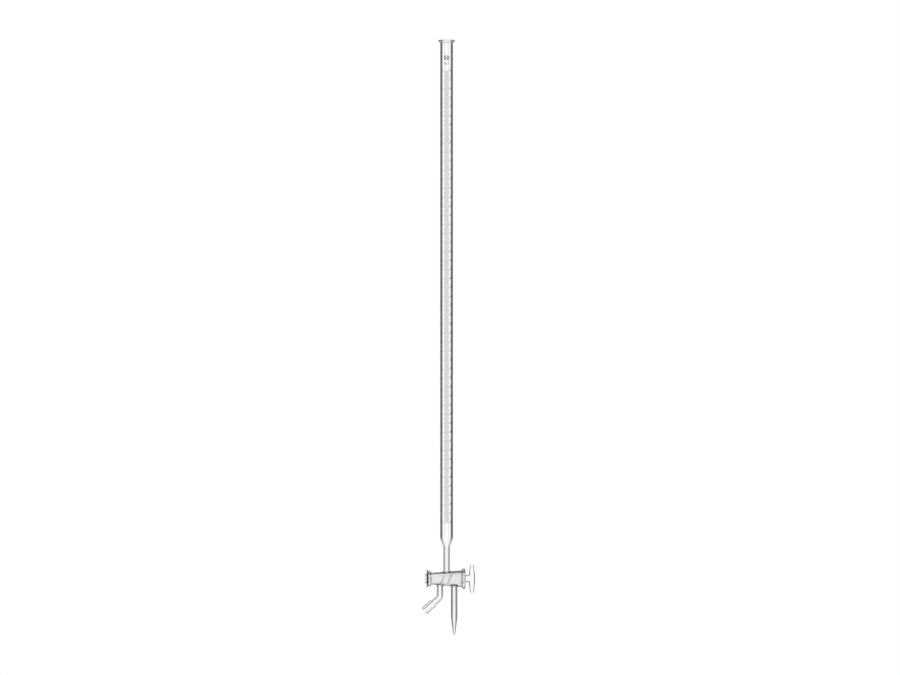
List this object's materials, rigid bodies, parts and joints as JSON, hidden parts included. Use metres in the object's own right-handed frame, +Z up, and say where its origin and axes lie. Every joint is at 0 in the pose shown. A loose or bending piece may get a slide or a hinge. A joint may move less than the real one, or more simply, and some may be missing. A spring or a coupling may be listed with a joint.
{
  "type": "burette",
  "caption": "Graduated glass burette with a stopcock worked by a tee handle, a bent filling arm with a hose nozzle, and a drawn jet.",
  "frame": {"origin": "on the graduated tube's axis at the middle of the scale, where a burette clamp grips the tube", "axes": "+Z up the tube towards its mouth, +X along the stopcock key towards its handle, -Y towards the reader of the scale"},
  "size_m": [0.0611, 0.0234, 0.6801],
  "materials": {
    "clear_glass": "clear borosilicate glass, fire polished",
    "ground_glass": "borosilicate glass with a finely ground, frosted taper",
    "black_rubber": "matt black moulded rubber",
    "enamel": "dark grey fired ceramic enamel"
  },
  "bodies": {
    "glass_body": {"rim_bead": "clear_glass", "graduated_tube": "clear_glass", "tube_shoulder": "clear_glass", "inlet_stem": "clear_glass", "stopcock_barrel": "ground_glass", "handle_end_bead": "clear_glass", "tail_end_bead": "clear_glass", "filling_arm": "clear_glass", "hose_nozzle": "clear_glass", "outlet_stem": "clear_glass", "jet_tip": "clear_glass", "whole_ml_lines": "enamel", "half_ml_lines": "enamel", "tenth_ml_lines": "enamel", "scale_numbers": "enamel", "capacity_mark": "enamel"},
    "key": {"key_cone": "ground_glass", "key_handle": "clear_glass", "key_tail": "clear_glass", "retaining_disc": "black_rubber"}
  },
  "joints": [
    {"name": "key_turn", "type": "hinge", "parent": "glass_body", "child": "key", "pos_m": [0, 0, -0.32215], "axis": [1, 0, 0], "continuous": true}
  ]
}
